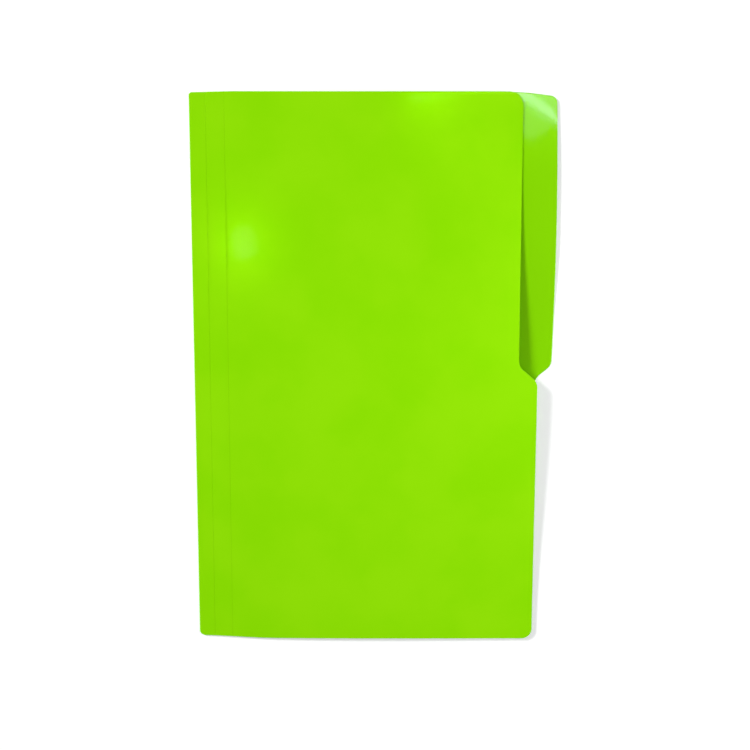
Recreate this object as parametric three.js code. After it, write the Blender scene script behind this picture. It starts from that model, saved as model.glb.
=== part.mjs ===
import * as THREE from 'three';

// A half-cut tab folder, closed and lying on its back cover.
// It is one die-cut blank of glossy board, creased into four panels that hinge on each other.
// +X runs from the fold to the free edge, +Y up the page and +Z up from the table, in millimetres.
// The origin is under the middle of the folder, on the table.

// Blank
const PAGE_LENGTH = 374.65;
const OVERALL_WIDTH = 241.3;
const BOARD = 0.4;

// Creases, measured from the outside of the fold
const FIRST_SCORE = 10.4;
const SECOND_SCORE = 22.6;
const CREASE_GAP = 0.3;
const FOLD_INSIDE_GAP = 0.4;

// Front cover, with the cut-out that shows the tab
const FRONT_WIDTH = 230;
const CUTOUT_DEPTH = 12.5;
const CUTOUT_LEAN = 0.6;
const FRONT_BOTTOM_RADIUS = 7;
const FRONT_TOP_RADIUS = 9.5;

// Back cover, with the tab on its upper half
const BACK_WIDTH = 229;
const BACK_BOTTOM_RADIUS = 6.5;
const TAB_BOW = 1.2;
const TAB_CORNER_RADIUS = 4.7;
const TAB_TOP_INSET = 2.7;
const TAB_TOP_SLOPE = THREE.MathUtils.degToRad(7);
const TAB_TOP_KNEE_WIDTH = 222;
const TAB_TOP_KNEE_INSET = 1;
const TAB_TOP_END_WIDTH = 205.6;

// Shoulders, where the tab and the cut-out end
const SHOULDER_FROM_TOP = 186.5;
const SHOULDER_RADIUS = 8.5;
const SHOULDER_ANGLE = THREE.MathUtils.degToRad(50);

// Ends of the fold, where the blank is drawn in
const FOLD_TOP_RADIUS = 2.2;
const FOLD_BOTTOM_RADIUS = 4;
const FOLD_TOP_DRAW = 0.6;
const FOLD_TOP_DRAW_LENGTH = 30;
const FOLD_BOTTOM_DRAW = 1.75;
const FOLD_BOTTOM_DRAW_LENGTH = 55;

// Set of the board at rest: the front cover springs open, and the tab bows up and droops at its top
const PILLOW_RISE = 2;
const EDGE_LIFT = 8.45;
const LIFT_TOP_REACH = 150;
const LIFT_ROUNDING = 12;
const LIFT_BOTTOM_SHARE = 0.22;
const TOP_SPRING = 0.465;
const TOP_SPRING_LENGTH = 40;
const TAB_RISE = 2.1;
const TAB_RISE_LENGTH = 50;
const TAB_RISE_REACH = 98;
const TAB_FLAT_REACH = 24;
const TAB_DROOP_LENGTH = 46;
const TAB_DROOP_BEND = 3;
const TAB_DROOP_SHARE = 0.41;

// Steps of the mesh
const ARC_DIVISIONS = 4;
const LONGEST_ROW = 19;
const SHORTEST_ROW = 0.25;
const BEND_COLUMNS = 4;
const FRONT_COLUMNS = [5, 6];
const FRONT_KNEE = 140;
const BACK_COLUMNS = [1, 5];

// Places that follow from the sizes
const HALF_LENGTH = PAGE_LENGTH / 2;
const FOLD_X = -OVERALL_WIDTH / 2;
const BEND_RADIUS = BOARD + FOLD_INSIDE_GAP / 2;
const BEND_MIDDLE_RADIUS = BEND_RADIUS - BOARD / 2;
const HALF_GAP = CREASE_GAP / 2;
const SHOULDER_Y = HALF_LENGTH - SHOULDER_FROM_TOP;
const TAB_TOP = HALF_LENGTH - TAB_TOP_INSET;

const boardMaterial = new THREE.MeshStandardMaterial({ color: 0x90e001, roughness: 0.32, metalness: 0 });

// Fades smoothly from 1 at the start to 0 at the given length
function fadeOut(distance, length) {
  const share = THREE.MathUtils.clamp(distance / length, 0, 1);
  return 0.5 + 0.5 * Math.cos(Math.PI * share);
}

// Rise of the tab's side above flat: none by the shoulder, and full from halfway up the tab
function tabRise(fromFold, y) {
  const outward = Math.max(0, fromFold - (OVERALL_WIDTH - TAB_RISE_LENGTH));
  const full = fadeOut(SHOULDER_Y + TAB_RISE_REACH - y, TAB_RISE_REACH - TAB_FLAT_REACH);
  return TAB_RISE * (outward / TAB_RISE_LENGTH) ** 2 * full;
}

// The top of the tab droops back towards the table, past a short bend
function tabDroop(y) {
  const past = Math.max(0, y - (TAB_TOP - TAB_DROOP_LENGTH));
  const drop = past < TAB_DROOP_BEND ? past ** 2 / (2 * TAB_DROOP_BEND) : past - TAB_DROOP_BEND / 2;
  return (TAB_DROOP_SHARE * drop) / (TAB_DROOP_LENGTH - TAB_DROOP_BEND / 2);
}

function backRise(fromFold, y) {
  return tabRise(fromFold, y) * (1 - tabDroop(y));
}

// How far the free edge has sprung open at a height on the page: most at the shoulder
function edgeSpring(y) {
  const above = y - SHOULDER_Y;
  if (above > 0) {
    const past = Math.hypot(above, LIFT_ROUNDING) - LIFT_ROUNDING;
    return Math.max(0, 1 - past / LIFT_TOP_REACH) ** 2;
  }
  return LIFT_BOTTOM_SHARE + (1 - LIFT_BOTTOM_SHARE) * fadeOut(-above, HALF_LENGTH + SHOULDER_Y);
}

// Rise of the front panels above flat: a shallow pillow, and the sprung free edge and top
function frontRise(fromFold, y) {
  const pillow = PILLOW_RISE * Math.sin(Math.PI * Math.min(1, fromFold / FRONT_WIDTH));
  const past = Math.max(0, fromFold - SECOND_SCORE) / (FRONT_WIDTH - SECOND_SCORE);
  const nearTop = Math.max(0, y - (HALF_LENGTH - TOP_SPRING_LENGTH)) / TOP_SPRING_LENGTH;
  const spring = EDGE_LIFT * edgeSpring(y) * past ** 3 + TOP_SPRING * past * nearTop ** 2;
  return pillow + spring;
}

// A point on the board: layer -1 is the back and +1 the front, face -1 is the lower side and +1 the upper
function boardPoint(layer, face, fromFold, y) {
  const offset = (face * BOARD) / 2;
  if (fromFold < BEND_RADIUS) {
    const turn = (fromFold / BEND_RADIUS) * (Math.PI / 2);
    const radius = BEND_MIDDLE_RADIUS + layer * offset;
    const x = FOLD_X + BEND_RADIUS - radius * Math.cos(turn);
    return new THREE.Vector3(x, y, BEND_RADIUS + layer * radius * Math.sin(turn));
  }
  const riseAt = layer > 0 ? frontRise : backRise;
  const step = 0.01;
  const level = BEND_RADIUS + layer * BEND_MIDDLE_RADIUS;
  const base = riseAt(BEND_RADIUS, y);
  const slopeX = (riseAt(fromFold + step, y) - riseAt(fromFold - step, y)) / (2 * step);
  const slopeY = (riseAt(fromFold, y + step) - riseAt(fromFold, y - step)) / (2 * step);
  const normal = new THREE.Vector3(-slopeX, -slopeY, 1).normalize();
  const middle = new THREE.Vector3(FOLD_X + fromFold, y, level + riseAt(fromFold, y) - base);
  return middle.addScaledVector(normal, offset);
}

// The blank is drawn in a little towards the ends of the fold
function drawnIn(fromFold, y) {
  const low = -HALF_LENGTH + FOLD_BOTTOM_DRAW * fadeOut(fromFold, FOLD_BOTTOM_DRAW_LENGTH);
  const high = HALF_LENGTH - FOLD_TOP_DRAW * fadeOut(fromFold, FOLD_TOP_DRAW_LENGTH);
  return THREE.MathUtils.lerp(low, high, (y + HALF_LENGTH) / PAGE_LENGTH);
}

// A shoulder carries an edge from one width to another: an arc, a straight slope and an arc
function addShoulder(edge, fromWidth, toWidth) {
  const side = Math.sign(toWidth - fromWidth);
  const arcWidth = SHOULDER_RADIUS * (1 - Math.cos(SHOULDER_ANGLE));
  const slopeWidth = Math.abs(toWidth - fromWidth) - 2 * arcWidth;
  const arcHeight = SHOULDER_RADIUS * Math.sin(SHOULDER_ANGLE);
  const halfHeight = arcHeight + slopeWidth / Math.tan(SHOULDER_ANGLE) / 2;
  const start = SHOULDER_Y - halfHeight;
  const end = SHOULDER_Y + halfHeight;
  const startAngle = side > 0 ? Math.PI : 0;
  const firstTurn = startAngle - side * SHOULDER_ANGLE;
  edge.absarc(fromWidth + side * SHOULDER_RADIUS, start, SHOULDER_RADIUS, startAngle, firstTurn, side > 0);
  const endAngle = Math.PI - startAngle;
  const lastTurn = endAngle - side * SHOULDER_ANGLE;
  edge.absarc(toWidth - side * SHOULDER_RADIUS, end, SHOULDER_RADIUS, lastTurn, endAngle, side < 0);
}

// The outer edges run from the bottom of the page to the top
function frontEdge() {
  const cutout = FRONT_WIDTH - CUTOUT_DEPTH;
  const edge = new THREE.Path();
  const low = -HALF_LENGTH;
  const radius = FRONT_BOTTOM_RADIUS;
  edge.absarc(FRONT_WIDTH - radius, low + radius, radius, -Math.PI / 2, 0, false);
  addShoulder(edge, FRONT_WIDTH, cutout);
  const topRadius = FRONT_TOP_RADIUS;
  const topEnd = cutout + CUTOUT_LEAN;
  edge.absarc(topEnd - topRadius, HALF_LENGTH - topRadius, topRadius, 0, Math.PI / 2, false);
  return edge.getPoints(ARC_DIVISIONS);
}

function backEdge() {
  const low = -HALF_LENGTH;
  const radius = BACK_BOTTOM_RADIUS;
  const tabEnd = OVERALL_WIDTH - TAB_BOW;
  const edge = new THREE.Path();
  edge.absarc(BACK_WIDTH - radius, low + radius, radius, -Math.PI / 2, 0, false);
  addShoulder(edge, BACK_WIDTH, tabEnd);
  const bowStart = edge.currentPoint.y;
  const bowEnd = TAB_TOP - TAB_CORNER_RADIUS;
  edge.quadraticCurveTo(OVERALL_WIDTH + TAB_BOW, (bowStart + bowEnd) / 2, tabEnd, bowEnd);
  const cornerEnd = Math.PI / 2 - TAB_TOP_SLOPE;
  edge.absarc(tabEnd - TAB_CORNER_RADIUS, bowEnd, TAB_CORNER_RADIUS, 0, cornerEnd, false);
  edge.lineTo(TAB_TOP_KNEE_WIDTH, HALF_LENGTH - TAB_TOP_KNEE_INSET);
  edge.lineTo(TAB_TOP_END_WIDTH, HALF_LENGTH);
  return edge.getPoints(ARC_DIVISIONS);
}

// The edge along the fold, with its rounded ends and half of the crease gap
function foldEdge() {
  const bendStart = (BEND_RADIUS * Math.asin(HALF_GAP / BEND_RADIUS)) / (Math.PI / 2);
  const low = -HALF_LENGTH + FOLD_BOTTOM_RADIUS;
  const high = HALF_LENGTH - FOLD_TOP_RADIUS;
  const edge = new THREE.Path();
  edge.absarc(FOLD_BOTTOM_RADIUS, low, FOLD_BOTTOM_RADIUS, -Math.PI / 2, -Math.PI, true);
  edge.absarc(FOLD_TOP_RADIUS, high, FOLD_TOP_RADIUS, Math.PI, Math.PI / 2, true);
  const points = edge.getPoints(ARC_DIVISIONS);
  points.forEach((point) => {
    point.x = Math.max(point.x, bendStart);
  });
  return points;
}

// A straight edge beside a score line
function scoreEdge(fromFold) {
  return [new THREE.Vector2(fromFold, -HALF_LENGTH), new THREE.Vector2(fromFold, HALF_LENGTH)];
}

// Where an edge lies at a height on the page
function widthAt(edge, y) {
  const above = edge.findIndex((point) => point.y >= y - 1e-9);
  if (above <= 0) {
    return edge[Math.max(above, 0)].x;
  }
  const from = edge[above - 1];
  const to = edge[above];
  return THREE.MathUtils.mapLinear(y, from.y, to.y, from.x, to.x);
}

// Rows of a panel: one at each point of its edges, and more where they lie far apart
function panelRows(leftEdge, rightEdge, longestRow) {
  const corners = [...leftEdge, ...rightEdge].map((point) => point.y).sort((a, b) => a - b);
  const rows = [-HALF_LENGTH];
  for (const corner of corners) {
    const last = rows[rows.length - 1];
    const nearEnd = HALF_LENGTH - corner < SHORTEST_ROW;
    if (corner - last < SHORTEST_ROW || nearEnd) {
      continue;
    }
    addRowsTo(rows, corner, longestRow);
  }
  addRowsTo(rows, HALF_LENGTH, longestRow);
  return rows;
}

function addRowsTo(rows, y, longestRow) {
  const last = rows[rows.length - 1];
  const count = Math.ceil((y - last) / longestRow);
  for (let index = 1; index <= count; index += 1) {
    rows.push(THREE.MathUtils.lerp(last, y, index / count));
  }
}

// Columns of a panel: from 0 to 1 between the left edge and the knee, from 1 to 2 out to the right edge.
// The bend, where the panel has one, gets its own columns first.
function panelColumns(bendShare, [innerSteps, outerSteps]) {
  const columns = [];
  for (let index = 0; bendShare > 0 && index < BEND_COLUMNS; index += 1) {
    columns.push((bendShare * index) / BEND_COLUMNS);
  }
  for (let index = 0; index < innerSteps; index += 1) {
    columns.push(THREE.MathUtils.lerp(bendShare, 1, index / innerSteps));
  }
  for (let index = 0; index <= outerSteps; index += 1) {
    columns.push(1 + index / outerSteps);
  }
  return columns;
}

// A panel is a thin box of rows and columns, laid onto its outline and onto the set of the board
function panel(name, { layer, left, right, knee, steps, bent = false, longestRow = PAGE_LENGTH }) {
  const rows = panelRows(left, right, longestRow);
  const columns = panelColumns(bent ? BEND_RADIUS / knee : 0, steps);
  const geometry = new THREE.BoxGeometry(1, 1, 1, columns.length - 1, rows.length - 1, 1);
  const corners = geometry.attributes.position;
  for (let index = 0; index < corners.count; index += 1) {
    const column = columns[Math.round((corners.getX(index) + 0.5) * (columns.length - 1))];
    const row = rows[Math.round((corners.getY(index) + 0.5) * (rows.length - 1))];
    const face = Math.sign(corners.getZ(index));
    const inner = THREE.MathUtils.lerp(widthAt(left, row), knee, Math.min(column, 1));
    const fromFold = column > 1 ? THREE.MathUtils.lerp(knee, widthAt(right, row), column - 1) : inner;
    const point = boardPoint(layer, face, fromFold, drawnIn(fromFold, row));
    corners.setXYZ(index, point.x, point.y, point.z);
  }
  geometry.computeVertexNormals();
  const mesh = new THREE.Mesh(geometry, boardMaterial.clone());
  mesh.name = name;
  return mesh;
}

const folder = new THREE.Group();

folder.add(
  panel('back_cover', {
    layer: -1,
    left: foldEdge(),
    right: backEdge(),
    knee: OVERALL_WIDTH - TAB_RISE_LENGTH,
    steps: BACK_COLUMNS,
    bent: true,
    longestRow: LONGEST_ROW,
  }),
  panel('spine_strip', {
    layer: 1,
    left: foldEdge(),
    right: scoreEdge(FIRST_SCORE - HALF_GAP),
    knee: FIRST_SCORE / 2,
    steps: [1, 1],
    bent: true,
  }),
  panel('gusset_strip', {
    layer: 1,
    left: scoreEdge(FIRST_SCORE + HALF_GAP),
    right: scoreEdge(SECOND_SCORE - HALF_GAP),
    knee: (FIRST_SCORE + SECOND_SCORE) / 2,
    steps: [1, 1],
  }),
  panel('front_cover', {
    layer: 1,
    left: scoreEdge(SECOND_SCORE + HALF_GAP),
    right: frontEdge(),
    knee: FRONT_KNEE,
    steps: FRONT_COLUMNS,
    longestRow: LONGEST_ROW,
  }),
);

export default folder;
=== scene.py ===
import bisect
import math

import bmesh
import bpy
from mathutils import Euler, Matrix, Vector, noise


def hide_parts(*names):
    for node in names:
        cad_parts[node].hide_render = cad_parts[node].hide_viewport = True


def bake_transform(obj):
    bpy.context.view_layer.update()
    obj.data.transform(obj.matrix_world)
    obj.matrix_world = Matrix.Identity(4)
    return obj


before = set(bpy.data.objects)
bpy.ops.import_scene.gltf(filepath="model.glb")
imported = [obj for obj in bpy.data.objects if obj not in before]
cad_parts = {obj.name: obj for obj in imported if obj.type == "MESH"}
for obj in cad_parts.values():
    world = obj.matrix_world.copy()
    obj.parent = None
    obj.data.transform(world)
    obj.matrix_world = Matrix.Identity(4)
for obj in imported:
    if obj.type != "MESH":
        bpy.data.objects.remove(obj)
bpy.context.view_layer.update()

# A closed half-cut tab folder of glossy lime board, lying on its back cover.
# The blank is cut flat, with its thickness and its soft rim, and is then folded and set.
# On the flat blank s runs across it, below 0 on the back, 0 at the fold and above 0 on the front.
# y runs up the page, and the third number is the depth, from the inner face to the outer one.
# Sizes are in metres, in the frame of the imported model.

MM = 0.001

# The blank
PAGE_LENGTH = 374.65 * MM
OVERALL_WIDTH = 241.3 * MM
BOARD = 0.4 * MM
HALF_LENGTH = PAGE_LENGTH / 2
FOLD_X = -OVERALL_WIDTH / 2
FOLD_INSIDE_GAP = 0.4 * MM
BEND_RADIUS = BOARD + FOLD_INSIDE_GAP / 2
BEND_MIDDLE_RADIUS = BEND_RADIUS - BOARD / 2

# Score lines, measured round the outside from the fold
FIRST_SCORE = 10.4 * MM
SECOND_SCORE = 22.6 * MM
SCORE_STEP_DOWN = 0.3 * MM
SCORE_LAG = 0.3 * MM
SCORE_DEPTH = 0.055 * MM
SCORE_RECOVERY = 1 * MM

# Front cover, with the cut-out that shows the tab
FRONT_WIDTH = 230 * MM
CUTOUT_DEPTH = 12.5 * MM
CUTOUT_WIDTH = FRONT_WIDTH - CUTOUT_DEPTH
CUTOUT_LEAN = 0.6 * MM
FRONT_BOTTOM_RADIUS = 7 * MM
FRONT_TOP_RADIUS = 9.5 * MM

# Back cover, with the tab on its upper half
BACK_WIDTH = 229 * MM
BACK_BOTTOM_RADIUS = 6.5 * MM
TAB_BOW = 1.2 * MM
TAB_END_WIDTH = OVERALL_WIDTH - TAB_BOW
TAB_CORNER_RADIUS = 4.7 * MM
TAB_TOP_INSET = 2.7 * MM
TAB_TOP = HALF_LENGTH - TAB_TOP_INSET
TAB_TOP_SLOPE = math.radians(7)
TAB_TOP_LINE = [(222 * MM, HALF_LENGTH - 1 * MM), (205.6 * MM, HALF_LENGTH)]

# Shoulders, where the tab and the cut-out end
SHOULDER_Y = HALF_LENGTH - 186.5 * MM
SHOULDER_RADIUS = 8.5 * MM
SHOULDER_ANGLE = math.radians(50)

# Ends of the fold, where the blank is drawn in
FOLD_TOP_RADIUS = 2.2 * MM
FOLD_BOTTOM_RADIUS = 4 * MM
FOLD_TOP_DRAW = 0.6 * MM
FOLD_TOP_DRAW_LENGTH = 30 * MM
FOLD_BOTTOM_DRAW = 1.75 * MM
FOLD_BOTTOM_DRAW_LENGTH = 55 * MM

# Set of the board at rest: the front cover springs open, and the tab bows up and droops at its top
PILLOW_RISE = 2 * MM
EDGE_LIFT = 8.45 * MM
LIFT_TOP_REACH = 150 * MM
LIFT_ROUNDING = 12 * MM
LIFT_BOTTOM_SHARE = 0.22
TOP_SPRING = 0.465 * MM
TOP_SPRING_LENGTH = 40 * MM
TAB_RISE = 2.1 * MM
TAB_RISE_LENGTH = 50 * MM
TAB_RISE_REACH = 98 * MM
TAB_FLAT_REACH = 24 * MM
TAB_DROOP_LENGTH = 46 * MM
TAB_DROOP_BEND = 3 * MM
TAB_DROOP_SHARE = 0.41

# Finer shapes that only show in the gloss
EDGE_TURN = 0.045 * MM
EDGE_TURN_REACH = 1.8 * MM
RIPPLE = 0.02 * MM
RIPPLE_LENGTH = 45 * MM

# Steps of the mesh
RIM_ROUNDING = 0.05 * MM
RIM_SEGMENTS = 2
ARC_STEPS = 16
LONGEST_STEP = 3.2 * MM
STRIP_STEP = 1 * MM
FINE_STEP = 0.5 * MM
SCORE_STEP = 0.12 * MM
BEND_STEPS = 8
KNEE_WIDTH = 140 * MM
SHARP_ANGLE = math.radians(25)
WHOLE_STEP_SLACK = 0.001

# How far the finer steps of the mesh reach from what they serve
RIM_REACH = 8 * MM
TOP_RIM_REACH = 10 * MM
SHOULDER_REACH = 9 * MM
SCORE_REACH = 3 * MM
STRIPS_REACH = 30 * MM

# Step over which the slope of the board is measured
SLOPE_STEP = 0.01 * MM

# How near a seam a face is on it, and how little the normal of a cut wall or of the rim rises
SEAM_TOLERANCE = 0.01 * MM
WALL_NORMAL = 0.5
RIM_NORMAL = 0.9

# Sides of the fold: the sign of s on each
BACK = -1
FRONT = 1

# Where one piece of the skin ends and the next begins: the middle of each strip
SPINE_SEAM = FIRST_SCORE / 2
GUSSET_SEAM = (FIRST_SCORE + SECOND_SCORE) / 2

# Half the zone, measured across a crease, that the finest steps of the mesh cover
SCORE_BEND = 0.4 * MM

# Finish of the board
LIME = (0.290, 0.767, 0.0026, 1.0)
LIME_DEEP = (0.257, 0.743, 0.0010, 1.0)
# The inner face is painted darker than the outer one: painted shade, seen mostly on the tab
LIME_INSIDE_PAINTED_SHADE = (0.227, 0.648, 0.0006, 1.0)
# Painted shade: a darker colour along each score crease
LIME_SCORE_SHADE = (0.20, 0.60, 0.0006, 1.0)
LIME_WORN = (0.40, 0.82, 0.06, 1.0)
LIME_CORE = (0.42, 0.80, 0.08, 1.0)
WHITE = (1.0, 1.0, 1.0, 1.0)
SHEEN_TINT = (0.35, 1.0, 0.0, 1.0)
CLOUD_SIZE = 60 * MM
FIBRE_SIZE = 0.6 * MM
SMUDGE_SIZE = 35 * MM
PEEL_SIZE = 2.5 * MM
PUCKER_SIZE = 14 * MM
CLOUD_DETAIL = 3.0
FIBRE_DETAIL = 2.0
RELIEF_DETAIL = 1.0
NOISE_ROUGHNESS = 0.5
NOISE_LOW = 0.3
NOISE_HIGH = 0.7
PEEL_HEIGHT = 0.004 * MM
PUCKER_HEIGHT = 0.02 * MM
FIBRE_HEIGHT = 0.0005 * MM
# Reach and strength of the painted shade along the score creases
SCORE_SHADE_REACH = 0.45 * MM
SCORE_SHADE_SHARE = 0.3
FOLD_WEAR_WIDTH = 1.2 * MM
FOLD_WEAR_LOW = 0.45
FOLD_WEAR_HIGH = 0.75
FOLD_WEAR = 0.5
SMOOTHEST = 0.15
ROUGHEST = 0.17
CORE_ROUGHNESS = 0.7
BOARD_IOR = 1.5
COAT_IOR = 1.5
COAT_OUTSIDE = 0.012
COAT_INSIDE = 0.25
COAT_ROUGHNESS = 0.045

# Studio
FLOOR_COLOUR = (0.94, 0.94, 0.94, 1.0)
FLOOR_GLOW = 0.25
FLOOR_HALF = 12.0
FLOOR_DROP = 0.05 * MM
HORIZON_BRIGHTNESS = 1.0
SKY_BRIGHTNESS = 0.11
SKY_TURN_START = 0.15
SKY_TURN_END = 0.35
FOLDER_PLACE = (0.0, 0.0, 0.0)
KEY_PLACE = (-2.56, 1.8, 2.0)
KEY_SIZE = 1.0
KEY_BRIGHTNESS = 42.0
FILL_PLACE = (0.33, -0.05, 0.5)
FILL_SIZE = 0.25
FILL_BRIGHTNESS = 6.8
CEILING_PLACE = (-0.235, -0.07, 1.2)
CEILING_TARGET = (-0.087, 0.09, 0.0)
CEILING_SIZE = 0.04
CEILING_BRIGHTNESS = 55.0
STRIP_PLACE = (0.06, 0.157, 0.4)
STRIP_SIZE = (0.042, 0.009)
STRIP_BRIGHTNESS = 23.0
WINDOW_HEIGHT = 1.5
WINDOW_LEFT = 0.096
WINDOW_RIGHT = 0.29
WINDOW_BARS = (0.073, 0.127, 0.141, 0.23)
WINDOW_BRIGHTNESS = (3.4, 28.0, 7.0)
WINDOW_COLOUR = (0.94, 0.96, 1.25)
CAMERA_PLACE = (-0.966 * MM, 237.167 * MM, 1140.880 * MM)
CAMERA_TURN = (-0.206129, -0.0013978, 0.00058361)
CAMERA_LENS = 83.10
CAMERA_SENSOR = 36.0

# Sockets of a mix node, which has several of the same name: these are the ones for colours
MIX_FACTOR = 0
MIX_FIRST = 6
MIX_SECOND = 7
MIX_RESULT = 2


def lerp(start, end, share):
    return start + (end - start) * share


def fade_out(distance, length):
    share = min(1.0, max(0.0, distance / length))
    return 0.5 + 0.5 * math.cos(math.pi * share)


# Set of the board

# Rise of the tab's side above flat: none by the shoulder, and full from halfway up the tab
def tab_rise(width, y):
    outward = max(0.0, width - (OVERALL_WIDTH - TAB_RISE_LENGTH))
    full = fade_out(SHOULDER_Y + TAB_RISE_REACH - y, TAB_RISE_REACH - TAB_FLAT_REACH)
    return TAB_RISE * (outward / TAB_RISE_LENGTH) ** 2 * full


# The top of the tab droops back towards the table, past a short bend
def tab_droop(y):
    past = max(0.0, y - (TAB_TOP - TAB_DROOP_LENGTH))
    if past < TAB_DROOP_BEND:
        drop = past ** 2 / (2 * TAB_DROOP_BEND)
    else:
        drop = past - TAB_DROOP_BEND / 2
    return TAB_DROOP_SHARE * drop / (TAB_DROOP_LENGTH - TAB_DROOP_BEND / 2)


def back_rise(width, y):
    return tab_rise(width, y) * (1 - tab_droop(y))


# How far the free edge has sprung open at a height on the page: most at the shoulder
def edge_spring(y):
    above = y - SHOULDER_Y
    if above > 0:
        past = math.hypot(above, LIFT_ROUNDING) - LIFT_ROUNDING
        return max(0.0, 1 - past / LIFT_TOP_REACH) ** 2
    return lerp(fade_out(-above, HALF_LENGTH + SHOULDER_Y), 1.0, LIFT_BOTTOM_SHARE)


# Rise of the front above flat: a shallow pillow, and the sprung free edge and top
def front_rise(width, y):
    pillow = PILLOW_RISE * math.sin(math.pi * min(1.0, width / FRONT_WIDTH))
    past = max(0.0, width - SECOND_SCORE) / (FRONT_WIDTH - SECOND_SCORE)
    near_top = max(0.0, y - (HALF_LENGTH - TOP_SPRING_LENGTH)) / TOP_SPRING_LENGTH
    spring = EDGE_LIFT * edge_spring(y) * past ** 3 + TOP_SPRING * past * near_top ** 2
    return pillow + spring


# The rule of a score line leaves a step down in the outer face, which recovers slowly past it
def score_press(width):
    press = 0.0
    for score in (FIRST_SCORE, SECOND_SCORE):
        past = width - score - SCORE_LAG
        step_down = 1 - fade_out(past + SCORE_STEP_DOWN / 2, SCORE_STEP_DOWN)
        press -= SCORE_DEPTH * step_down * fade_out(past - SCORE_STEP_DOWN / 2, SCORE_RECOVERY)
    return press


# The cutting rule turns the top edge of the front down a little
def edge_turn(y):
    past = max(0.0, y - (HALF_LENGTH - EDGE_TURN_REACH)) / EDGE_TURN_REACH
    return -EDGE_TURN * past ** 2


# Coated board is never quite flat: a very shallow ripple, which fades out at the fold
def ripple(width, y):
    place = Vector((width / RIPPLE_LENGTH, y / RIPPLE_LENGTH, 0.0))
    return RIPPLE * noise.noise(place) * (1 - fade_out(width, RIPPLE_LENGTH))


# Height of the middle of the board above the table
def board_height(side, width, y):
    level = BEND_RADIUS + side * BEND_MIDDLE_RADIUS
    if side == BACK:
        return level + back_rise(width, y) - back_rise(BEND_RADIUS, y)
    rise = front_rise(width, y) - front_rise(BEND_RADIUS, y)
    return level + rise + score_press(width) + edge_turn(y) + ripple(width, y)


# Where a point of the flat blank lies in the folded one
def folded(s, y, depth):
    width = abs(s)
    outward = depth - BOARD / 2
    if width < BEND_RADIUS:
        turn = (s / BEND_RADIUS) * (math.pi / 2)
        radius = BEND_MIDDLE_RADIUS + outward
        x = FOLD_X + BEND_RADIUS - radius * math.cos(turn)
        return Vector((x, y, BEND_RADIUS + radius * math.sin(turn)))
    side = FRONT if s > 0 else BACK
    inward = board_height(side, width - SLOPE_STEP, y)
    onward = board_height(side, width + SLOPE_STEP, y)
    below = board_height(side, width, y - SLOPE_STEP)
    above = board_height(side, width, y + SLOPE_STEP)
    slope_x = (onward - inward) / (2 * SLOPE_STEP)
    slope_y = (above - below) / (2 * SLOPE_STEP)
    normal = Vector((-slope_x, -slope_y, 1.0)).normalized()
    middle = Vector((FOLD_X + width, y, board_height(side, width, y)))
    return middle + normal * (side * outward)


# The blank is drawn in a little towards the ends of the fold
def drawn_in(s, y):
    low = -HALF_LENGTH + FOLD_BOTTOM_DRAW * fade_out(abs(s), FOLD_BOTTOM_DRAW_LENGTH)
    high = HALF_LENGTH - FOLD_TOP_DRAW * fade_out(abs(s), FOLD_TOP_DRAW_LENGTH)
    return lerp(low, high, (y + HALF_LENGTH) / PAGE_LENGTH)


# Outlines

def arc(centre, radius, start, end):
    points = []
    for index in range(ARC_STEPS + 1):
        turn = lerp(start, end, index / ARC_STEPS)
        points.append((centre[0] + radius * math.cos(turn), centre[1] + radius * math.sin(turn)))
    return points


def bezier(points):
    curve = []
    for index in range(ARC_STEPS + 1):
        rest = [Vector(point) for point in points]
        while len(rest) > 1:
            rest = [a.lerp(b, index / ARC_STEPS) for a, b in zip(rest, rest[1:])]
        curve.append(tuple(rest[0]))
    return curve


# A shoulder carries an edge from one width to another: an arc, a straight slope and an arc
def shoulder(from_width, to_width):
    side = math.copysign(1, to_width - from_width)
    arc_width = SHOULDER_RADIUS * (1 - math.cos(SHOULDER_ANGLE))
    slope_width = abs(to_width - from_width) - 2 * arc_width
    arc_height = SHOULDER_RADIUS * math.sin(SHOULDER_ANGLE)
    half_height = arc_height + slope_width / math.tan(SHOULDER_ANGLE) / 2
    start = (from_width + side * SHOULDER_RADIUS, SHOULDER_Y - half_height)
    end = (to_width - side * SHOULDER_RADIUS, SHOULDER_Y + half_height)
    start_turn = math.pi if side > 0 else 0.0
    end_turn = math.pi - start_turn
    lower = arc(start, SHOULDER_RADIUS, start_turn, start_turn - side * SHOULDER_ANGLE)
    upper = arc(end, SHOULDER_RADIUS, end_turn - side * SHOULDER_ANGLE, end_turn)
    return lower + upper


def bottom_corner(width, radius):
    return arc((width - radius, -HALF_LENGTH + radius), radius, -math.pi / 2, 0.0)


def front_edge():
    lower = bottom_corner(FRONT_WIDTH, FRONT_BOTTOM_RADIUS) + shoulder(FRONT_WIDTH, CUTOUT_WIDTH)
    centre = (CUTOUT_WIDTH + CUTOUT_LEAN - FRONT_TOP_RADIUS, HALF_LENGTH - FRONT_TOP_RADIUS)
    return lower + arc(centre, FRONT_TOP_RADIUS, 0.0, math.pi / 2)


def back_edge():
    lower = bottom_corner(BACK_WIDTH, BACK_BOTTOM_RADIUS) + shoulder(BACK_WIDTH, TAB_END_WIDTH)
    bow_start = lower[-1][1]
    bow_end = TAB_TOP - TAB_CORNER_RADIUS
    pull = (OVERALL_WIDTH + TAB_BOW, (bow_start + bow_end) / 2)
    bow = bezier([(TAB_END_WIDTH, bow_start), pull, (TAB_END_WIDTH, bow_end)])
    centre = (TAB_END_WIDTH - TAB_CORNER_RADIUS, bow_end)
    corner = arc(centre, TAB_CORNER_RADIUS, 0.0, math.pi / 2 - TAB_TOP_SLOPE)
    return lower + bow[1:] + corner[1:] + TAB_TOP_LINE


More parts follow.
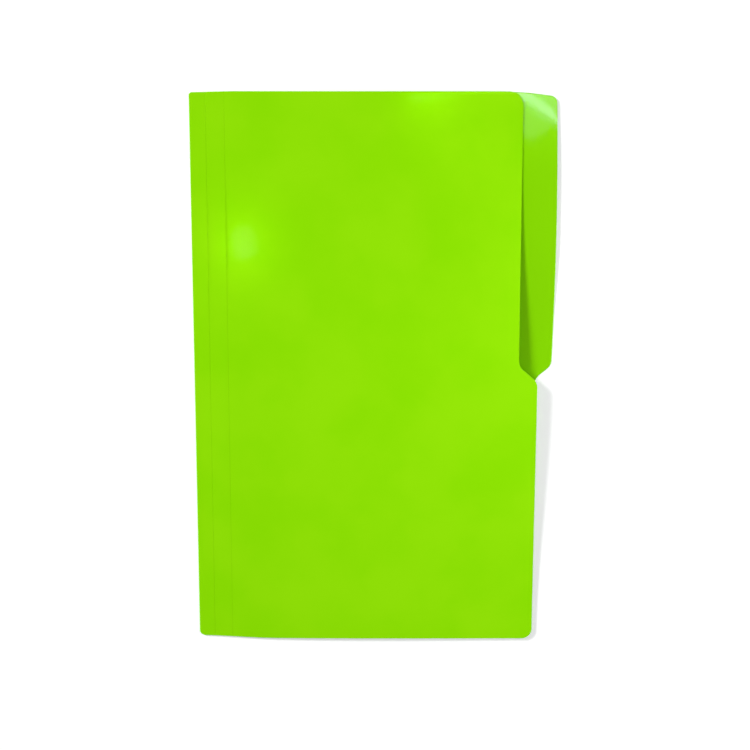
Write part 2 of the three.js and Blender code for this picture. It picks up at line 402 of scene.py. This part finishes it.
def value_at(profile, place):
    index = bisect.bisect_right(profile, place, key=lambda point: point[0])
    if index == 0:
        return profile[0][1]
    if index == len(profile):
        return profile[-1][1]
    (start, low), (end, high) = profile[index - 1], profile[index]
    return lerp(low, high, (place - start) / (end - start))


# The outline of a panel as three profiles: the free side as (y, width), both ends as (width, y).
# The profiles meet in the middle of each round corner, so the grid of the panel fits them squarely.
# The edge runs from the bottom corner to the top one, with some more points past that corner.
class Outline:
    def __init__(self, edge, points_past_corner):
        bottom_middle = ARC_STEPS // 2
        top_middle = len(edge) - 1 - points_past_corner - ARC_STEPS // 2
        fold_bottom = (FOLD_BOTTOM_RADIUS, -HALF_LENGTH + FOLD_BOTTOM_RADIUS)
        fold_top = (FOLD_TOP_RADIUS, HALF_LENGTH - FOLD_TOP_RADIUS)
        self.bottom = arc(fold_bottom, FOLD_BOTTOM_RADIUS, -math.pi, -math.pi / 2)
        self.bottom += edge[:bottom_middle + 1]
        self.top = arc(fold_top, FOLD_TOP_RADIUS, math.pi, math.pi / 2)
        self.top += edge[top_middle:][::-1]
        self.side = [(y, width) for width, y in edge[bottom_middle:top_middle + 1]]
        self.width = max(width for y, width in self.side)

    def bottom_at(self, width):
        return value_at(self.bottom, width)

    def top_at(self, width):
        return value_at(self.top, width)

    def width_at(self, y):
        return value_at(self.side, y)


# Steps of a grid between marks, each mark with the longest step that may follow it
def graded(marks):
    places = [marks[0][0]]
    for (start, longest), (end, _) in zip(marks, marks[1:]):
        count = max(1, math.ceil((end - start) / longest - WHOLE_STEP_SLACK))
        places += [lerp(start, end, index / count) for index in range(1, count + 1)]
    return places


# The skin of the board

PAGE_ROWS = graded([
    (-HALF_LENGTH, FINE_STEP),
    (-HALF_LENGTH + RIM_REACH, LONGEST_STEP),
    (SHOULDER_Y - SHOULDER_REACH, FINE_STEP),
    (SHOULDER_Y + SHOULDER_REACH, LONGEST_STEP),
    (HALF_LENGTH - TOP_RIM_REACH, FINE_STEP),
    (HALF_LENGTH, FINE_STEP),
])


# A flat panel of the blank, as a grid with a column at each given s, laid onto its outline.
# Past the knee the columns lean with the free side.
def lay_out(bm, columns, outline, side):
    bmesh.ops.create_grid(bm, x_segments=len(columns) - 1, y_segments=len(PAGE_ROWS) - 1, size=0.5)
    free_bottom = outline.side[0][0]
    free_top = outline.side[-1][0]

    def place(s, free_y):
        width = side * s
        if width < KNEE_WIDTH:
            return s
        lean = (outline.width_at(free_y) - KNEE_WIDTH) / (outline.width - KNEE_WIDTH)
        return side * (KNEE_WIDTH + (width - KNEE_WIDTH) * lean)

    for vert in bm.verts:
        s = columns[round((vert.co.x + 0.5) * (len(columns) - 1))]
        row = PAGE_ROWS[round((vert.co.y + 0.5) * (len(PAGE_ROWS) - 1))]
        share = (row + HALF_LENGTH) / PAGE_LENGTH
        low = outline.bottom_at(abs(place(s, free_bottom)))
        high = outline.top_at(abs(place(s, free_top)))
        leaned_s = place(s, lerp(free_bottom, free_top, share))
        vert.co = Vector((leaned_s, lerp(low, high, share), 0.0))


def on_seam(face, seams):
    return any(all(abs(vert.co.x - seam) < SEAM_TOLERANCE for vert in face.verts) for seam in seams)


# Gives the flat panel its thickness and takes the sharpness off its cut rim, but not at a seam
def thicken(bm, seams):
    sheet = bmesh.ops.extrude_face_region(bm, geom=bm.faces[:], use_keep_orig=True)
    lifted = [item for item in sheet["geom"] if isinstance(item, bmesh.types.BMVert)]
    bmesh.ops.translate(bm, verts=lifted, vec=(0.0, 0.0, BOARD))
    bmesh.ops.recalc_face_normals(bm, faces=bm.faces[:])
    walls = [face for face in bm.faces if abs(face.normal.z) < WALL_NORMAL]
    wall_edges = {edge for face in walls if not on_seam(face, seams) for edge in face.edges}
    rim = [edge for edge in wall_edges if abs(edge.verts[0].co.z - edge.verts[1].co.z) < BOARD / 2]
    bmesh.ops.bevel(
        bm, geom=rim, offset=RIM_ROUNDING, offset_type="OFFSET", affect="EDGES",
        segments=RIM_SEGMENTS, profile=0.5, material=-1, clamp_overlap=True,
    )
    cut_edge = bm.faces.layers.float.new("cut_edge")
    for face in bm.faces:
        if abs(face.normal.z) < RIM_NORMAL:
            face[cut_edge] = 1.0


# Folds and sets the panel, and keeps each point's place on the flat blank for the finish
def fold_up(bm):
    blank_place = bm.verts.layers.float_vector.new("blank_place")
    for vert in bm.verts:
        s, y, depth = vert.co
        vert[blank_place] = vert.co
        vert.co = folded(s, drawn_in(s, y), depth)
    bmesh.ops.recalc_face_normals(bm, faces=bm.faces[:])
    for face in bm.faces:
        face.smooth = True
    for edge in bm.edges:
        edge.smooth = edge.calc_face_angle(0.0) < SHARP_ANGLE


def board_piece(name, columns, outline, side, seams, finish):
    bm = bmesh.new()
    lay_out(bm, columns, outline, side)
    thicken(bm, seams)
    fold_up(bm)
    mesh = bpy.data.meshes.new(name)
    bm.to_mesh(mesh)
    bm.free()
    mesh.materials.append(finish)
    piece = bpy.data.objects.new(name, mesh)
    bpy.context.scene.collection.objects.link(piece)
    return piece


# An output of a shader node. Sums, differences and products of such outputs add the nodes for them.
class Shade:
    def __init__(self, bench, socket):
        self.bench = bench
        self.socket = socket

    def __add__(self, other):
        return self.bench.maths("ADD", self, other)

    def __sub__(self, other):
        return self.bench.maths("SUBTRACT", self, other)

    def __rsub__(self, other):
        return self.bench.maths("SUBTRACT", other, self)

    def __mul__(self, other):
        return self.bench.maths("MULTIPLY", self, other)


# A node tree to work in. It adds a node, sets it up and joins it, and returns one of its outputs.
class Bench:
    def __init__(self, tree):
        self.tree = tree
        tree.nodes.clear()

    def node(self, kind, settings=None, inputs=None, output=0):
        node = self.tree.nodes.new("ShaderNode" + kind)
        for setting, value in (settings or {}).items():
            setattr(node, setting, value)
        for socket, value in (inputs or {}).items():
            if isinstance(value, Shade):
                self.tree.links.new(value.socket, node.inputs[socket])
            else:
                node.inputs[socket].default_value = value
        if not node.outputs:
            return None
        return Shade(self, node.outputs[output])

    def maths(self, operation, *values):
        return self.node("Math", {"operation": operation}, dict(enumerate(values)))


def noise_of(bench, place, size, detail):
    inputs = {"Vector": place, "Scale": 1 / size, "Detail": detail, "Roughness": NOISE_ROUGHNESS}
    return bench.node("TexNoise", {"noise_dimensions": "3D"}, inputs)


def remap(bench, value, low, high, start=0.0, end=1.0):
    inputs = {"Value": value, "From Min": low, "From Max": high, "To Min": start, "To Max": end}
    return bench.node("MapRange", {"interpolation_type": "SMOOTHSTEP"}, inputs)


def mix_colour(bench, factor, first, second):
    inputs = {MIX_FACTOR: factor, MIX_FIRST: first, MIX_SECOND: second}
    return bench.node("Mix", {"data_type": "RGBA"}, inputs, MIX_RESULT)


def glossy_board():
    material = bpy.data.materials.new("glossy_board")
    material.use_nodes = True
    bench = Bench(material.node_tree)
    place = bench.node("Attribute", {"attribute_name": "blank_place"}, output="Vector")
    across = bench.node("SeparateXYZ", inputs={"Vector": place}, output="X")
    depth = bench.node("SeparateXYZ", inputs={"Vector": place}, output="Z")
    outside = remap(bench, depth, 0.0, BOARD)
    cut_edge = bench.node("Attribute", {"attribute_name": "cut_edge"}, output="Fac")

    cloud = noise_of(bench, place, CLOUD_SIZE, CLOUD_DETAIL)
    fibre = noise_of(bench, place, FIBRE_SIZE, FIBRE_DETAIL)
    colour = mix_colour(bench, remap(bench, cloud, NOISE_LOW, NOISE_HIGH), LIME_DEEP, LIME)
    # The inner face takes the darker colour, which is painted shade
    colour = mix_colour(bench, outside, LIME_INSIDE_PAINTED_SHADE, colour)
    # A darker line is painted along each score on the outer face: painted shade in the crease
    for score in (FIRST_SCORE, SECOND_SCORE):
        from_score = across - (score + SCORE_LAG)
        distance = bench.maths("ABSOLUTE", from_score)
        score_shade = remap(bench, distance, 0.0, SCORE_SHADE_REACH, SCORE_SHADE_SHARE, 0.0)
        colour = mix_colour(bench, score_shade * outside, colour, LIME_SCORE_SHADE)
    near_fold = remap(bench, bench.maths("ABSOLUTE", across), 0.0, FOLD_WEAR_WIDTH, 1.0, 0.0)
    wear = near_fold * remap(bench, fibre, FOLD_WEAR_LOW, FOLD_WEAR_HIGH) * FOLD_WEAR
    colour = mix_colour(bench, wear, colour, LIME_WORN)
    colour = mix_colour(bench, cut_edge, colour, LIME_CORE)

    smudge = noise_of(bench, place, SMUDGE_SIZE, CLOUD_DETAIL)
    unevenness = remap(bench, smudge, NOISE_LOW, NOISE_HIGH, SMOOTHEST, ROUGHEST)
    roughness = unevenness + cut_edge * (CORE_ROUGHNESS - ROUGHEST)
    coat = (1 - cut_edge) * remap(bench, depth, 0.0, BOARD, COAT_INSIDE, COAT_OUTSIDE)
    peel = noise_of(bench, place, PEEL_SIZE, RELIEF_DETAIL)
    pucker = noise_of(bench, place, PUCKER_SIZE, RELIEF_DETAIL)
    relief = peel * PEEL_HEIGHT + pucker * PUCKER_HEIGHT + fibre * FIBRE_HEIGHT
    bump = bench.node("Bump", inputs={"Strength": 1.0, "Distance": 1.0, "Height": relief})

    surface = bench.node("BsdfPrincipled", inputs={
        "Base Color": colour,
        "Roughness": roughness,
        "IOR": BOARD_IOR,
        "Specular Tint": SHEEN_TINT,
        "Coat Weight": coat,
        "Coat Roughness": COAT_ROUGHNESS,
        "Coat IOR": COAT_IOR,
        "Normal": bump,
        "Coat Normal": bump,
    })
    bench.node("OutputMaterial", inputs={"Surface": surface})
    return material


board = glossy_board()
front_outline = Outline(front_edge(), 0)
back_outline = Outline(back_edge(), len(TAB_TOP_LINE))

back_columns = graded([
    (-back_outline.width, FINE_STEP),
    (-back_outline.width + RIM_REACH, LONGEST_STEP),
    (-RIM_REACH, FINE_STEP),
    (-BEND_RADIUS, BEND_RADIUS / BEND_STEPS),
    (BEND_RADIUS, FINE_STEP),
    (SPINE_SEAM, FINE_STEP),
])
spine_columns = graded([
    (SPINE_SEAM, STRIP_STEP),
    (FIRST_SCORE - SCORE_BEND, SCORE_STEP),
    (FIRST_SCORE + SCORE_BEND, FINE_STEP),
    (FIRST_SCORE + SCORE_REACH, STRIP_STEP),
    (GUSSET_SEAM, STRIP_STEP),
])
front_columns = graded([
    (GUSSET_SEAM, STRIP_STEP),
    (SECOND_SCORE - SCORE_BEND, SCORE_STEP),
    (SECOND_SCORE + SCORE_BEND, FINE_STEP),
    (SECOND_SCORE + SCORE_REACH, STRIP_STEP),
    (STRIPS_REACH, LONGEST_STEP),
    (front_outline.width - RIM_REACH, FINE_STEP),
    (front_outline.width, FINE_STEP),
])

back_board = board_piece("back_board", back_columns, back_outline, BACK, [SPINE_SEAM], board)
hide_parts("back_cover")
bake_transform(back_board)
spine_seams = [SPINE_SEAM, GUSSET_SEAM]
spine_board = board_piece("spine_board", spine_columns, front_outline, FRONT, spine_seams, board)
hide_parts("spine_strip", "gusset_strip")
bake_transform(spine_board)
front_board = board_piece("front_board", front_columns, front_outline, FRONT, [GUSSET_SEAM], board)
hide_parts("front_cover")
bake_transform(front_board)


# Studio

# The floor glows faintly where the camera or the gloss sees it, and that glow lights nothing
def floor_finish():
    material = bpy.data.materials.new("floor")
    material.use_nodes = True
    bench = Bench(material.node_tree)
    camera_ray = bench.node("LightPath", output="Is Camera Ray")
    glossy_ray = bench.node("LightPath", output="Is Glossy Ray")
    clear_ray = bench.node("LightPath", output="Is Transmission Ray")
    seen = bench.maths("MAXIMUM", camera_ray, glossy_ray)
    seen = bench.maths("MAXIMUM", seen, clear_ray)
    paper = bench.node("BsdfDiffuse", inputs={"Color": FLOOR_COLOUR})
    glow = bench.node("Emission", inputs={"Color": WHITE, "Strength": seen * FLOOR_GLOW})
    both = bench.node("AddShader", inputs={0: paper, 1: glow})
    bench.node("OutputMaterial", inputs={"Surface": both})
    return material


def lay_floor():
    bm = bmesh.new()
    bmesh.ops.create_grid(bm, x_segments=1, y_segments=1, size=FLOOR_HALF)
    bmesh.ops.translate(bm, verts=bm.verts[:], vec=(0.0, 0.0, -FLOOR_DROP))
    mesh = bpy.data.meshes.new("floor")
    bm.to_mesh(mesh)
    bm.free()
    mesh.materials.append(floor_finish())
    floor = bpy.data.objects.new("floor", mesh)
    bpy.context.scene.collection.objects.link(floor)


# An area lamp of a given brightness: at 1 a surface that mirrors it wholly would be white
def lamp(name, place, target, width, height, brightness, colour=WHITE[:3], shape="RECTANGLE"):
    light = bpy.data.lights.new(name, "AREA")
    light.shape = shape
    light.size = width
    light.size_y = height
    area = width * height * (math.pi / 4 if shape == "DISK" else 1.0)
    light.energy = brightness * area * math.pi
    light.color = colour
    holder = bpy.data.objects.new(name, light)
    holder.location = place
    holder.rotation_euler = (Vector(target) - Vector(place)).to_track_quat("-Z", "Y").to_euler()
    bpy.context.scene.collection.objects.link(holder)


# The sky is brightest low down, all round
def light_sky():
    world = bpy.data.worlds.new("studio")
    world.use_nodes = True
    bench = Bench(world.node_tree)
    direction = bench.node("TexCoord", output="Generated")
    height = bench.node("SeparateXYZ", inputs={"Vector": direction}, output="Z")
    turn = (SKY_TURN_START, SKY_TURN_END)
    strength = remap(bench, height, *turn, HORIZON_BRIGHTNESS, SKY_BRIGHTNESS)
    background = bench.node("Background", inputs={"Color": WHITE, "Strength": strength})
    bench.node("OutputWorld", inputs={"Surface": background})
    bpy.context.scene.world = world


def straight_below(place):
    return (place[0], place[1], 0.0)


# Key and fill light the folder, and the other lamps are mainly what its gloss reflects
def light_room():
    lamp("key_lamp", KEY_PLACE, FOLDER_PLACE, KEY_SIZE, KEY_SIZE, KEY_BRIGHTNESS)
    lamp("fill_lamp", FILL_PLACE, FOLDER_PLACE, FILL_SIZE, FILL_SIZE, FILL_BRIGHTNESS)
    lamp(
        "ceiling_lamp", CEILING_PLACE, CEILING_TARGET, CEILING_SIZE, CEILING_SIZE,
        CEILING_BRIGHTNESS, shape="DISK",
    )
    lamp("strip_lamp", STRIP_PLACE, straight_below(STRIP_PLACE), *STRIP_SIZE, STRIP_BRIGHTNESS)
    middle_x = (WINDOW_LEFT + WINDOW_RIGHT) / 2
    for pane, brightness in enumerate(WINDOW_BRIGHTNESS):
        low = WINDOW_BARS[pane]
        high = WINDOW_BARS[pane + 1]
        place = (middle_x, (low + high) / 2, WINDOW_HEIGHT)
        size = (WINDOW_RIGHT - WINDOW_LEFT, high - low)
        name = "window_pane_%d" % pane
        lamp(name, place, straight_below(place), *size, brightness, WINDOW_COLOUR)


def set_camera():
    data = bpy.data.cameras.new("camera")
    data.sensor_width = CAMERA_SENSOR
    data.lens = CAMERA_LENS
    camera = bpy.data.objects.new("camera", data)
    camera.location = CAMERA_PLACE
    camera.rotation_euler = Euler(CAMERA_TURN)
    bpy.context.scene.collection.objects.link(camera)
    bpy.context.scene.camera = camera


lay_floor()
light_sky()
light_room()
set_camera()
bpy.context.scene.view_settings.view_transform = "Standard"
